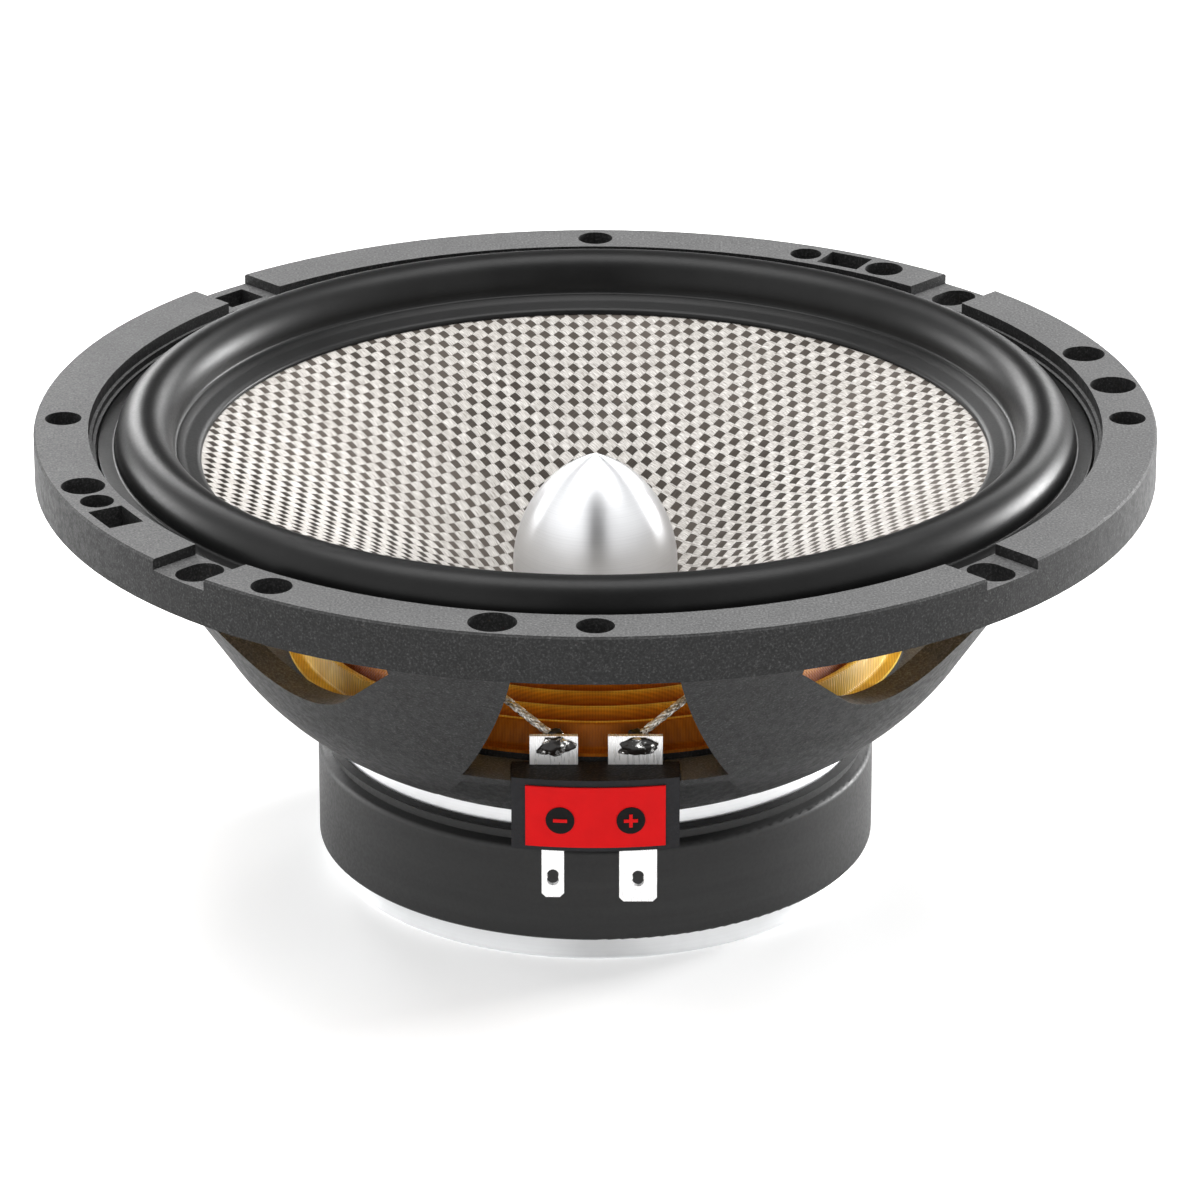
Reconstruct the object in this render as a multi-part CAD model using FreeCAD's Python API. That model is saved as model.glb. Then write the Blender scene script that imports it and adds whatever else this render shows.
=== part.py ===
"""Component car woofer, 165 mm class: composite basket, woven glass cone, rubber surround,
fixed metal phase plug, ferrite motor in a rubber boot and a clip-in terminal block.

The frame: Z = 0 is the flange's rear face, +Z is the way the cone radiates, and the terminal
block faces -Y. Lengths are in millimetres and angles in degrees, anticlockwise from +X.
"""
import FreeCAD, Part
import math
import os

V = FreeCAD.Vector
AXIS = V(0, 0, 1)
ORIGIN = V(0, 0, 0)

# ---- flange -------------------------------------------------------------------------------
FLANGE_R = 82.5
FLANGE_T = 7.0
FLANGE_BEVEL = 0.3
RECESS_R = 74.5
LEDGE_Z = 3.4
LEDGE_R = 69.5
RECESS_STEP = 0.5
RECESS_STEP_H = 0.9
HOLE_CIRCLE_R = 78.3
NOTCH_WIDTH = 10.6
NOTCH_DEPTH = 1.6
MAIN_HOLE_R = 2.7
MAIN_HOLE_ANGLES = (0, 90, 180, 270)
# Angle and radius of each further hole on the circle.
EXTRA_HOLES = (
    (10, 3.45),
    (20, 3.2),
    (200, 3.2),
    (55, 2.95),
    (235, 2.95),
    (65.1, 2.45),
    (204.6, 2.45),
    (259.6, 3.45),
)
SQUARE_HOLE_ANGLES = (60.2, 209.5)
SQUARE_HOLE = (5.3, 7.0)
NOTCH_SLOT_ANGLES = (45, 225, 315)
NOTCH_SLOT_R = 2.7
NOTCH_SLOT_LENGTH = 7.4
NOTCH_SQUARE_ANGLE = 135
NOTCH_SQUARE = (5.0, 6.5)

# ---- basket shell -------------------------------------------------------------------------
SHELL_TOP_R = 72.3
SHELL_KNEE = (55.0, -26.0)
SHELL_BELLY = (48.6, -33.1)
SHELL_WALL = 3.8
MOTOR_TOP_Z = -39.1
RING_R = 39.6
RING_T = 2.5
RING_BORE_R = 24.0
SILL_Z = -28.0
SILL_T = 1.5
SPIDER_SEAT_Z = -27.0
SPIDER_SEAT_R = 46.0
SPIDER_SEAT_BORE_R = 43.4
SETBACK_TOP_R = 50.0
WINDOW_TOP_HALF = 11.0
WINDOW_MID = (14.2, -16.0)
WINDOW_SILL_HALF = 19.0
UNDERCUT_FOOT_HALF = 24.3
DIAGONAL_TOP_HALF = 24.5
DIAGONAL_SHOULDER = (22.2, -8.0)
DIAGONAL_HIP = (10.6, -16.3)
DIAGONAL_FOOT_Z = -19.8

# ---- moving parts -------------------------------------------------------------------------
LIP_R = 73.3
LIP_T = 0.9
ROLL_R = 66.6
ROLL_HALF = 4.3
ROLL_TOP_Z = 9.3
RUBBER_T = 0.9
CONE_RIM = (62.2, 3.1)
CONE_MIDDLE = (34.8, -8.6)
CONE_NECK = (13.2, -22.0)
CONE_T = 0.5
SURROUND_FLANGE_R = 58.0
SURROUND_FLANGE_T = 0.6
BOND_GAP = 0.1
FORMER_R = 12.95
FORMER_WALL = 0.2
FORMER_TOP_Z = -21.0
FORMER_FOOT_Z = -48.2
WINDING_R = 13.7
WINDING_TOP_Z = -35.4
WINDING_FOOT_Z = -47.8
SPIDER_PLANE_Z = -24.5
SPIDER_PITCH = 5.34
SPIDER_HEIGHT = 1.4
SPIDER_FIRST_CREST_R = 43.3
SPIDER_HALF_WAVES = 9
SPIDER_T = 0.45
SPIDER_BORE_R = 13.1

# ---- motor --------------------------------------------------------------------------------
PLATE_T = 5.0
TOP_PLATE_R = 39.3
TOP_PLATE_BORE_R = 14.2
MAGNET_R = 40.0
MAGNET_BORE_R = 22.5
YOKE_R = 39.4
YOKE_FOOT_Z = -62.4
POLE_R = 12.2
BOOT_R = 41.5
BOOT_LIP_R = 40.0
BOOT_LIP_Z = -41.2
BOOT_GROOVE_Z = (-42.2, -43.4)
BOOT_FOOT_Z = -58.4
BOOT_FIT = 0.05
PLUG_SHOULDER_Z = -16.0
PLUG_TIP_Z = 1.5
PLUG_TIP_BLUNT = 0.35
STUD_R = 2.0
STUD_REACH = 8.0
SCREW_CIRCLE_R = 31.0
SCREW_R = 1.5
SCREW_HEAD_R = 3.0
SCREW_HEAD_T = 1.6
SCREW_REACH = 3.5
DRIVE_HALF = 0.8

# ---- terminals ----------------------------------------------------------------------------
BLOCK_HALF = 12.0
BLOCK_FRONT_R = 53.2
BLOCK_FACE_T = 2.8
BLOCK_TOP_Z = -27.6
BLOCK_FOOT_Z = -38.6
BLOCK_SLAB_T = 2.0
BLOCK_BACK_Y = -46.3
BLOCK_FIT = 0.1
LABEL_HALF = 10.0
LABEL_TOP_Z = -28.6
LABEL_FOOT_Z = -37.9
LABEL_T = 0.3
DISC_X = 5.05
DISC_Z = -33.7
DISC_R = 2.05
DISC_T = 0.12
SIGN_HALF = 1.0
SIGN_STROKE = 0.5
STRIP_T = 0.8
LUG_Y = -47.4
LUG_TOP_Z = -23.2
TAB_Y = -51.6
NEGATIVE_TAB = {"x": -6.1, "width": 3.2, "foot": -46.5, "hole_z": -43.4, "lug": (-9.4, -2.5)}
POSITIVE_TAB = {"x": 6.1, "width": 5.4, "foot": -47.2, "hole_z": -43.6, "lug": (1.8, 9.6)}
TAB_CORNER = 0.6
TAB_HOLE_R = 0.85
TAB_HOLE_STRETCH = 0.8
SOLDER_R = 1.5
LEAD_R = 0.55
# Route of the lead on the -X side, from its lug to the voice coil's solder pad.
LEAD_ROUTE = (
    (-5.9, -45.9, -24.0),
    (-8.6, -45.4, -21.9),
    (-12.9, -43.8, -18.9),
    (-17.6, -39.8, -16.6),
    (-18.8, -33.8, -16.9),
    (-16.6, -28.0, -18.6),
    (-13.4, -22.6, -20.2),
    (-10.4, -17.4, -21.6),
    (-8.0, -12.9, -22.9),
)
LEAD_RUN_SHARE = 0.45
PAD_ANGLE = 238.0
PAD_HALF_ANGLE = 6.0
PAD_T = 0.35
PAD_Z = (-24.0, -22.3)


# ---- helpers ------------------------------------------------------------------------------
def section(start, *steps):
    """Closed face in the XZ plane. A step is a corner (r, z), or a pair (via, end) for an arc."""
    edges = []
    here = V(start[0], 0, start[1])
    last = steps[-1][1] if isinstance(steps[-1][0], tuple) else steps[-1]
    closing = () if last == start else (start,)
    for step in steps + closing:
        if isinstance(step[0], tuple):
            via, end = [V(r, 0, z) for r, z in step]
            edges.append(Part.Arc(here, via, end).toShape())
        else:
            end = V(step[0], 0, step[1])
            edges.append(Part.LineSegment(here, end).toShape())
        here = end
    return Part.Face(Part.Wire(edges))


def turned(start, *steps):
    """Solid of revolution about Z with that section."""
    return section(start, *steps).revolve(ORIGIN, AXIS, 360)


def tube(outer, inner, low, high):
    """Hollow cylinder about Z."""
    return turned((inner, low), (outer, low), (outer, high), (inner, high))


def block(x, y, z):
    """Box between the pairs of limits x, y and z."""
    return Part.makeBox(x[1] - x[0], y[1] - y[0], z[1] - z[0], V(x[0], y[0], z[0]))


def spun(shape, angle):
    """Copy of the shape, turned about Z."""
    copy = shape.copy()
    copy.rotate(ORIGIN, AXIS, angle)
    return copy


def upright(radius, x, y, low, high):
    """Cylinder that stands along Z."""
    return Part.makeCylinder(radius, high - low, V(x, y, low))


def radial_prism(start, *steps):
    """Prism that runs outward along -Y from a section drawn in the XZ plane."""
    face = section(start, *steps)
    face.translate(V(0, -RING_BORE_R, 0))
    return face.extrude(V(0, -FLANGE_R, 0))


def save(shape, node):
    """Writes one node and prints how many solids it holds and their volume."""
    shape.exportStep("parts/" + node + ".step")
    print(node, len(shape.Solids), round(shape.Volume, 1), shape.isValid())


# ---- basket -------------------------------------------------------------------------------
def shell_inside(z):
    """Radius of the shell's inner wall at height z."""
    run = SHELL_TOP_R - SHELL_KNEE[0]
    slope = run / -SHELL_KNEE[1]
    return SHELL_TOP_R + z * slope - SHELL_WALL * math.hypot(slope, 1)


def basket_body():
    """Flange, shell, sill, spider seat and mounting ring, before any opening is cut."""
    ring_top = MOTOR_TOP_Z + RING_T
    step_1 = RECESS_R - 2 * RECESS_STEP
    step_2 = RECESS_R - RECESS_STEP
    return turned(
        (RECESS_R, FLANGE_T),
        (FLANGE_R - FLANGE_BEVEL, FLANGE_T),
        (FLANGE_R, FLANGE_T - FLANGE_BEVEL),
        (FLANGE_R, 0),
        (SHELL_TOP_R, 0),
        SHELL_KNEE,
        (SHELL_BELLY, (RING_R, MOTOR_TOP_Z)),
        (RING_BORE_R, MOTOR_TOP_Z),
        (RING_BORE_R, ring_top),
        (RING_R - 1.8, ring_top),
        (SPIDER_SEAT_BORE_R + 2, SILL_Z - SILL_T),
        (SPIDER_SEAT_BORE_R, SILL_Z - SILL_T),
        (SPIDER_SEAT_BORE_R, SPIDER_SEAT_Z),
        (SPIDER_SEAT_R, SPIDER_SEAT_Z),
        (SPIDER_SEAT_R, SILL_Z),
        (shell_inside(SILL_Z), SILL_Z),
        (shell_inside(LEDGE_Z - 1), LEDGE_Z - 1),
        (LEDGE_R, LEDGE_Z),
        (step_1, LEDGE_Z),
        (step_1, LEDGE_Z + RECESS_STEP_H),
        (step_2, LEDGE_Z + RECESS_STEP_H),
        (step_2, LEDGE_Z + 2 * RECESS_STEP_H),
        (RECESS_R, LEDGE_Z + 2 * RECESS_STEP_H),
    )


def main_window():
    """Cutter for the trapezoid window that faces -Y, down to the flat sill."""
    left_mid = (-WINDOW_MID[0], WINDOW_MID[1])
    prism = radial_prism(
        (-WINDOW_TOP_HALF, 0),
        (WINDOW_TOP_HALF, 0),
        (WINDOW_MID, (WINDOW_SILL_HALF, SILL_Z)),
        (-WINDOW_SILL_HALF, SILL_Z),
        (left_mid, (-WINDOW_TOP_HALF, 0)),
    )
    return prism.cut(upright(SPIDER_SEAT_R, 0, 0, SILL_Z - 1, 1))


def undercut():
    """Cutter for the hollow below the sill, which leaves a wall set back behind the arms."""
    top = SILL_Z - SILL_T
    foot = MOTOR_TOP_Z - 1
    prism = radial_prism(
        (-WINDOW_SILL_HALF, top),
        (WINDOW_SILL_HALF, top),
        (UNDERCUT_FOOT_HALF, foot),
        (-UNDERCUT_FOOT_HALF, foot),
    )
    wall = turned((0, top), (SETBACK_TOP_R, top), (RING_R, MOTOR_TOP_Z), (RING_R, foot), (0, foot))
    return prism.cut(wall)


def diagonal_window():
    """Cutter for the rounded V that splits an arm in two below the flange."""
    shoulder, hip, foot = DIAGONAL_SHOULDER, DIAGONAL_HIP, (0, DIAGONAL_FOOT_Z)
    return radial_prism(
        (-DIAGONAL_TOP_HALF, 0),
        (DIAGONAL_TOP_HALF, 0),
        shoulder,
        hip,
        (foot, (-hip[0], hip[1])),
        (-shoulder[0], shoulder[1]),
    )


def flange_cutters():
    """Through holes and shallow notches of the flange, all on the hole circle."""
    low, high = -1, FLANGE_T + 1
    holes = [(angle, MAIN_HOLE_R) for angle in MAIN_HOLE_ANGLES] + list(EXTRA_HOLES)
    cutters = [spun(upright(radius, HOLE_CIRCLE_R, 0, low, high), angle) for angle, radius in holes]
    for angles, (radial, across) in (
        (SQUARE_HOLE_ANGLES, SQUARE_HOLE),
        ((NOTCH_SQUARE_ANGLE,), NOTCH_SQUARE),
    ):
        square = block(
            (HOLE_CIRCLE_R - radial / 2, HOLE_CIRCLE_R + radial / 2),
            (-across / 2, across / 2),
            (low, high),
        )
        cutters += [spun(square, angle) for angle in angles]
    reach = NOTCH_SLOT_LENGTH / 2 - NOTCH_SLOT_R
    slot = block(
        (HOLE_CIRCLE_R - reach, HOLE_CIRCLE_R + reach), (-NOTCH_SLOT_R, NOTCH_SLOT_R), (low, high)
    )
    for end in (-reach, reach):
        slot = slot.fuse(upright(NOTCH_SLOT_R, HOLE_CIRCLE_R + end, 0, low, high))
    cutters += [spun(slot.removeSplitter(), angle) for angle in NOTCH_SLOT_ANGLES]
    notch = block(
        (RECESS_R - 2, FLANGE_R + 1), (-NOTCH_WIDTH / 2, NOTCH_WIDTH / 2), (FLANGE_T - NOTCH_DEPTH, high)
    )
    cutters += [spun(notch, 45 + 90 * quarter) for quarter in range(4)]
    return cutters


def basket():
    """The composite chassis, in one moulding."""
    cutters = flange_cutters()
    window, hollow, diagonal = main_window(), undercut(), diagonal_window()
    for quarter in range(4):
        cutters += [spun(window, 90 * quarter), spun(hollow, 90 * quarter)]
        cutters.append(spun(diagonal, 90 * quarter + 45))
        cutters.append(screw_shank(quarter))
    cutters.append(
        block(
            (-BLOCK_HALF - BLOCK_FIT, BLOCK_HALF + BLOCK_FIT),
            (-SHELL_TOP_R, BLOCK_BACK_Y + BLOCK_FIT),
            (BLOCK_TOP_Z - BLOCK_SLAB_T - BLOCK_FIT, BLOCK_TOP_Z + 1),
        )
    )
    return basket_body().cut(cutters)


# ---- moving parts -------------------------------------------------------------------------
def cone_height(r):
    """Height of the cone's front face at radius r, on the arc through its rim, middle and neck."""
    arc = Part.Arc(*[V(a, 0, b) for a, b in (CONE_RIM, CONE_MIDDLE, CONE_NECK)])
    circle = arc.toShape().Curve
    side = 1 if circle.Center.z < CONE_MIDDLE[1] else -1
    return circle.Center.z + side * math.sqrt(circle.Radius**2 - (r - circle.Center.x) ** 2)


def surround():
    """Half-roll rubber surround with its outer lip and the flange that laps the cone."""
    inner, outer = ROLL_R - ROLL_HALF, ROLL_R + ROLL_HALF
    rim_low = cone_height(CONE_RIM[0]) + BOND_GAP
    edge_low = cone_height(SURROUND_FLANGE_R) + BOND_GAP
    lip_top = LEDGE_Z + LIP_T
    under = RUBBER_T
    return turned(
        (LIP_R, LEDGE_Z),
        (LIP_R, lip_top),
        (outer, lip_top),
        ((ROLL_R, ROLL_TOP_Z), (inner, rim_low + SURROUND_FLANGE_T)),
        (SURROUND_FLANGE_R, edge_low + SURROUND_FLANGE_T),
        (SURROUND_FLANGE_R, edge_low),
        (CONE_RIM[0], rim_low),
        (inner + under, rim_low),
        ((ROLL_R, ROLL_TOP_Z - under), (outer - under, LEDGE_Z)),
    )


def cone():
    """Thin woven diaphragm, from its rim under the surround to its neck on the former."""
    low = [(r, z - CONE_T) for r, z in (CONE_NECK, CONE_MIDDLE, CONE_RIM)]
    return turned(CONE_RIM, (CONE_MIDDLE, CONE_NECK), low[0], (low[1], low[2]))


def neck_adhesive():
    """Fillet of adhesive below the cone's neck, round the former."""
    foot = CONE_NECK[1] - CONE_T
    return turned(
        (FORMER_R, foot + 0.45),
        (CONE_NECK[0], foot),
        (CONE_NECK[0] + 0.5, foot + 0.3),
        (FORMER_R, foot - 0.6),
    )


def voice_coil_former():
    """Thin tube that carries the winding."""
    return tube(FORMER_R, FORMER_R - FORMER_WALL, FORMER_FOOT_Z, FORMER_TOP_Z)


def voice_coil_winding():
    """Copper winding round the former's foot."""
    return tube(WINDING_R, FORMER_R, WINDING_FOOT_Z, WINDING_TOP_Z)


def pad_sector(radius_in, radius_out, low, high, angle):
    """Piece of a tube, one solder pad wide, centred on that angle."""
    whole = tube(radius_out, radius_in, low, high)
    width = 2 * radius_out * math.sin(math.radians(PAD_HALF_ANGLE))
    wedge = block((0, radius_out + 1), (-width / 2, width / 2), (low - 1, high + 1))
    return whole.common(spun(wedge, angle))


def pad_angles():
    """Angles of the two solder pads, mirrored in the YZ plane."""
    return (PAD_ANGLE, 540 - PAD_ANGLE)


def coil_leadouts():
    """Flat wires that climb the former from the winding to the solder pads."""
    pieces = []
    for angle in pad_angles():
        wire = block((FORMER_R, FORMER_R + 0.1), (-0.5, 0.5), (WINDING_TOP_Z, SPIDER_PLANE_Z - 1))
        pieces.append(spun(wire, angle))
    return Part.makeCompound(pieces)


def lead_solder_pads():
    """Pads on the former where the flexible leads are soldered."""
    low, high = PAD_Z
    return Part.makeCompound(
        [pad_sector(FORMER_R, FORMER_R + PAD_T, low, high - 0.9, angle) for angle in pad_angles()]
    )


def spider():
    """Corrugated suspension: a flat seat, a cup wall and half waves in to the former."""
    quarter = SPIDER_PITCH / 4
    start = SPIDER_FIRST_CREST_R + quarter
    top = SPIDER_T
    upper, lower = [], []
    for index in range(SPIDER_HALF_WAVES):
        sign = 1 if index % 2 == 0 else -1
        middle = start - quarter * (2 * index + 1)
        end = start - quarter * (2 * index + 2)
        peak = SPIDER_PLANE_Z + sign * SPIDER_HEIGHT
        upper.append(((middle, peak + top), (end, SPIDER_PLANE_Z + top)))
        lower.append(((middle, peak), (end + 2 * quarter, SPIDER_PLANE_Z)))
    return turned(
        (SPIDER_SEAT_R, SPIDER_SEAT_Z),
        (SPIDER_SEAT_R, SPIDER_SEAT_Z + top),
        (start + top, SPIDER_SEAT_Z + top),
        (start, SPIDER_PLANE_Z + top),
        *upper,
        (SPIDER_BORE_R, SPIDER_PLANE_Z + top),
        (SPIDER_BORE_R, SPIDER_PLANE_Z),
        (start - 2 * quarter * SPIDER_HALF_WAVES, SPIDER_PLANE_Z),
        *reversed(lower),
        (start - top, SPIDER_SEAT_Z),
    )


# ---- motor --------------------------------------------------------------------------------
def screw_shank(quarter):
    """Shank of one basket screw, standing through the ring into the top plate."""
    top = MOTOR_TOP_Z + RING_T
    return spun(upright(SCREW_R, SCREW_CIRCLE_R, 0, top - RING_T - SCREW_REACH, top), 45 + 90 * quarter)


def basket_screws():
    """Four pan-head screws that hold the basket on the top plate."""
    top = MOTOR_TOP_Z + RING_T
    head = upright(SCREW_HEAD_R, SCREW_CIRCLE_R, 0, top, top + SCREW_HEAD_T)
    for wide, narrow in ((SCREW_HEAD_R * 0.6, DRIVE_HALF / 2), (DRIVE_HALF / 2, SCREW_HEAD_R * 0.6)):
        drive = block(
            (SCREW_CIRCLE_R - wide, SCREW_CIRCLE_R + wide), (-narrow, narrow), (top + DRIVE_HALF, top + 2)
        )
        head = head.cut(drive)
    return Part.makeCompound([spun(head, 45 + 90 * q).fuse(screw_shank(q)) for q in range(4)])


def top_plate():
    """Steel plate that the basket stands on, bored for the voice coil."""
    plate = tube(TOP_PLATE_R, TOP_PLATE_BORE_R, MOTOR_TOP_Z - PLATE_T, MOTOR_TOP_Z)
    return plate.cut([screw_shank(quarter) for quarter in range(4)])


def magnet():
    """Ferrite ring between the two plates."""
    return tube(MAGNET_R, MAGNET_BORE_R, YOKE_FOOT_Z + PLATE_T, MOTOR_TOP_Z - PLATE_T)


def t_yoke():
    """Rear plate and pole in one forging, tapped for the phase plug's stud."""
    edge = 0.5
    body = turned(
        (0, YOKE_FOOT_Z),
        (YOKE_R - edge, YOKE_FOOT_Z),
        (YOKE_R, YOKE_FOOT_Z + edge),
        (YOKE_R, YOKE_FOOT_Z + PLATE_T),
        (POLE_R, YOKE_FOOT_Z + PLATE_T),
        (POLE_R, MOTOR_TOP_Z),
        (0, MOTOR_TOP_Z),
    )
    return body.cut(plug_stud())


def phase_plug():
    """Metal plug on the pole: a cylinder that ends in a pointed ogive."""
    height = PLUG_TIP_Z - PLUG_SHOULDER_Z
    radius = (height**2 + POLE_R**2) / (2 * POLE_R)
    sweep = math.acos(1 - (POLE_R - PLUG_TIP_BLUNT) / radius)
    end, via = [
        (POLE_R - radius * (1 - math.cos(angle)), PLUG_SHOULDER_Z + radius * math.sin(angle))
        for angle in (sweep, sweep / 2)
    ]
    body = turned(
        (0, MOTOR_TOP_Z),
        (POLE_R, MOTOR_TOP_Z),
        (POLE_R, PLUG_SHOULDER_Z),
        (via, end),
        (0, end[1] + PLUG_TIP_BLUNT / 2),
    )
    return body.cut(plug_stud())


def plug_stud():
    """Threaded stud that joins the phase plug to the pole."""
    return upright(STUD_R, 0, 0, MOTOR_TOP_Z - STUD_REACH, MOTOR_TOP_Z + STUD_REACH)


def magnet_boot():
    """Rubber cover of the motor, with a rolled lip, a groove and a straight skirt."""
    plate_foot = MOTOR_TOP_Z - PLATE_T
    yoke_top = YOKE_FOOT_Z + PLATE_T
    groove_top, groove_foot = BOOT_GROOVE_Z
    soft = 0.7
    return turned(
        (TOP_PLATE_R + BOOT_FIT, BOOT_LIP_Z - soft / 2),
        (TOP_PLATE_R + soft / 2, BOOT_LIP_Z),
        (BOOT_LIP_R + soft, (BOOT_LIP_Z + groove_top) / 2),
        (BOOT_LIP_R, groove_top),
        (BOOT_LIP_R, groove_foot),
        (BOOT_R - soft, groove_foot - soft / 2),
        ((BOOT_R - 0.2, groove_foot - soft), (BOOT_R, groove_foot - 2 * soft)),
        (BOOT_R, BOOT_FOOT_Z + soft),
        ((BOOT_R - 0.2, BOOT_FOOT_Z + 0.2), (BOOT_R - soft, BOOT_FOOT_Z)),
        (YOKE_R + BOOT_FIT, BOOT_FOOT_Z),
        (YOKE_R + BOOT_FIT, yoke_top),
        (MAGNET_R + BOOT_FIT, yoke_top),
        (MAGNET_R + BOOT_FIT, plate_foot),
        (TOP_PLATE_R + BOOT_FIT, plate_foot),
    )


# ---- terminals ----------------------------------------------------------------------------
def terminal_strip(tab):
    """One stamped terminal: a solder lug, a link through the block and a spade tab."""
    half = tab["width"] / 2
    corner = TAB_CORNER
    left, right = tab["x"] - half, tab["x"] + half
    link_top = BLOCK_TOP_Z - 0.6
    link_foot = link_top - STRIP_T
    low, high = tab["lug"]
    lug = block((low, high), (LUG_Y, LUG_Y + STRIP_T), (link_foot, LUG_TOP_Z))
    link = block((left, right), (TAB_Y, LUG_Y + STRIP_T), (link_foot, link_top))
    points = [
        (left, link_top),
        (right, link_top),
        (right, tab["foot"] + corner),
        (right - corner, tab["foot"]),
        (left + corner, tab["foot"]),
        (left, tab["foot"] + corner),
    ]
    face = Part.Face(Part.makePolygon([V(x, TAB_Y, z) for x, z in points + points[:1]]))
    spade = face.extrude(V(0, STRIP_T, 0))
    for rise in (0, TAB_HOLE_STRETCH):
        hole = Part.makeCylinder(
            TAB_HOLE_R, 4, V(tab["x"], TAB_Y - 1, tab["hole_z"] - TAB_HOLE_STRETCH / 2 + rise), V(0, 1, 0)
        )
        spade = spade.cut(hole)
    return lug.fuse([link, spade]).removeSplitter()


def front_arc(radius, thickness, half, low, high):
    """Curved plate on the front of the terminal block, concentric with the basket."""
    ring = tube(radius, radius - thickness, low, high)
    return ring.common(block((-half, half), (-radius - 1, 0), (low - 1, high + 1)))


def terminal_block():
    """Moulded block that clips into the sill and holds both terminal strips."""
    face = front_arc(BLOCK_FRONT_R, BLOCK_FACE_T, BLOCK_HALF, BLOCK_FOOT_Z, BLOCK_TOP_Z)
    slab = block(
        (-BLOCK_HALF, BLOCK_HALF),
        (-BLOCK_FRONT_R + 1.8, BLOCK_BACK_Y),
        (BLOCK_TOP_Z - BLOCK_SLAB_T, BLOCK_TOP_Z),
    )
    body = face.fuse(slab).removeSplitter()
    return body.cut([terminal_strip(NEGATIVE_TAB), terminal_strip(POSITIVE_TAB)])


def terminal_label():
    """Plain coloured label on the block's face."""
    return front_arc(BLOCK_FRONT_R + LABEL_T, LABEL_T, LABEL_HALF, LABEL_FOOT_Z, LABEL_TOP_Z)


def polarity_disc(x, inner, thickness):
    """Disc on the label, cut to the label's curve."""
    ring = tube(inner + thickness, inner, LABEL_FOOT_Z, LABEL_TOP_Z)
    return ring.common(Part.makeCylinder(DISC_R, FLANGE_R, V(x, 0, DISC_Z), V(0, -1, 0)))


def polarity_discs():
    """Dark discs behind the two polarity signs."""
    radius = BLOCK_FRONT_R + LABEL_T
    return Part.makeCompound([polarity_disc(x, radius, DISC_T) for x in (-DISC_X, DISC_X)])


def polarity_signs():
    """Raised minus and plus signs on the discs."""
    inner = BLOCK_FRONT_R + LABEL_T + DISC_T
    ring = tube(inner + DISC_T, inner, LABEL_FOOT_Z, LABEL_TOP_Z)
    thin, depth = SIGN_STROKE / 2, (-FLANGE_R, 0)
    minus = block((-DISC_X - SIGN_HALF, -DISC_X + SIGN_HALF), depth, (DISC_Z - thin, DISC_Z + thin))
    across = block((DISC_X - SIGN_HALF, DISC_X + SIGN_HALF), depth, (DISC_Z - thin, DISC_Z + thin))
    upward = block((DISC_X - thin, DISC_X + thin), depth, (DISC_Z - SIGN_HALF, DISC_Z + SIGN_HALF))
    plus = across.fuse(upward).removeSplitter()
    return Part.makeCompound([ring.common(minus), ring.common(plus)])


def lead_path(points):
    """Straight runs joined by tangent arcs, each as large as its two runs allow."""
    edges = []
    here = points[0]
    for before, corner, after in zip(points, points[1:], points[2:]):
        run = min((corner - before).Length, (after - corner).Length) * LEAD_RUN_SHARE
        back = (before - corner).normalize()
        ahead = (after - corner).normalize()
        turn = math.pi - back.getAngle(ahead)
        radius = run / math.tan(turn / 2)
        middle = (back + ahead).normalize() * (radius / math.cos(turn / 2) - radius)
        first, last = corner + back * run, corner + ahead * run
        edges.append(Part.LineSegment(here, first).toShape())
        edges.append(Part.Arc(first, corner + middle, last).toShape())
        print("  lead radius", round(radius, 1), "turn", round(math.degrees(turn)))
        here = last
    edges.append(Part.LineSegment(here, points[-1]).toShape())
    return Part.Wire(edges)


def tinsel_lead(side):
    """Flexible lead from its lug to the former; side is 1 for the -X one and -1 for the +X one."""
    path = lead_path([V(side * x, y, z) for x, y, z in LEAD_ROUTE])
    start = path.Edges[0]
    ahead = start.tangentAt(start.FirstParameter)
    profile = Part.Wire(Part.makeCircle(LEAD_R, start.Vertexes[0].Point, ahead))
    print("  lead length", round(path.Length, 1))
    return path.makePipeShell([profile], True, False)


def lug_solder():
    """Solder beads that hold the leads on the lugs."""
    x, y, z = LEAD_ROUTE[0]
    beads = []
    for side in (1, -1):
        bead = Part.makeSphere(SOLDER_R, V(side * x, LUG_Y + STRIP_T, z))
        bead = bead.common(block((-20, 20), (LUG_Y + STRIP_T, 0), (-40, 0)))
        beads.append(bead.cut(tinsel_lead(side)))
    return Part.makeCompound(beads)


def main():
    os.makedirs("parts", exist_ok=True)
    save(basket(), "basket")
    save(basket_screws(), "basket_screws")
    save(surround(), "surround")
    save(cone(), "cone")
    save(neck_adhesive(), "neck_adhesive")
    save(voice_coil_former(), "voice_coil_former")
    save(voice_coil_winding(), "voice_coil_winding")
    save(coil_leadouts(), "coil_leadouts")
    save(lead_solder_pads(), "lead_solder_pads")
    save(spider(), "spider")
    save(phase_plug(), "phase_plug")
    save(plug_stud(), "plug_stud")
    save(top_plate(), "top_plate")
    save(magnet(), "magnet")
    save(t_yoke(), "t_yoke")
    save(magnet_boot(), "magnet_boot")
    save(terminal_block(), "terminal_block")
    save(terminal_label(), "terminal_label")
    save(polarity_discs(), "polarity_discs")
    save(polarity_signs(), "polarity_signs")
    save(terminal_strip(NEGATIVE_TAB), "negative_terminal")
    save(terminal_strip(POSITIVE_TAB), "positive_terminal")
    save(lug_solder(), "lug_solder")
    save(tinsel_lead(1), "negative_tinsel_lead")
    save(tinsel_lead(-1), "positive_tinsel_lead")


main()
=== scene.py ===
"""Looks of the component car woofer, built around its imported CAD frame.

Lengths named here are in millimetres and are turned into metres by MM.
"""

import math

import bmesh
import bpy
import numpy as np
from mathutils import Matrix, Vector, noise


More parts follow.
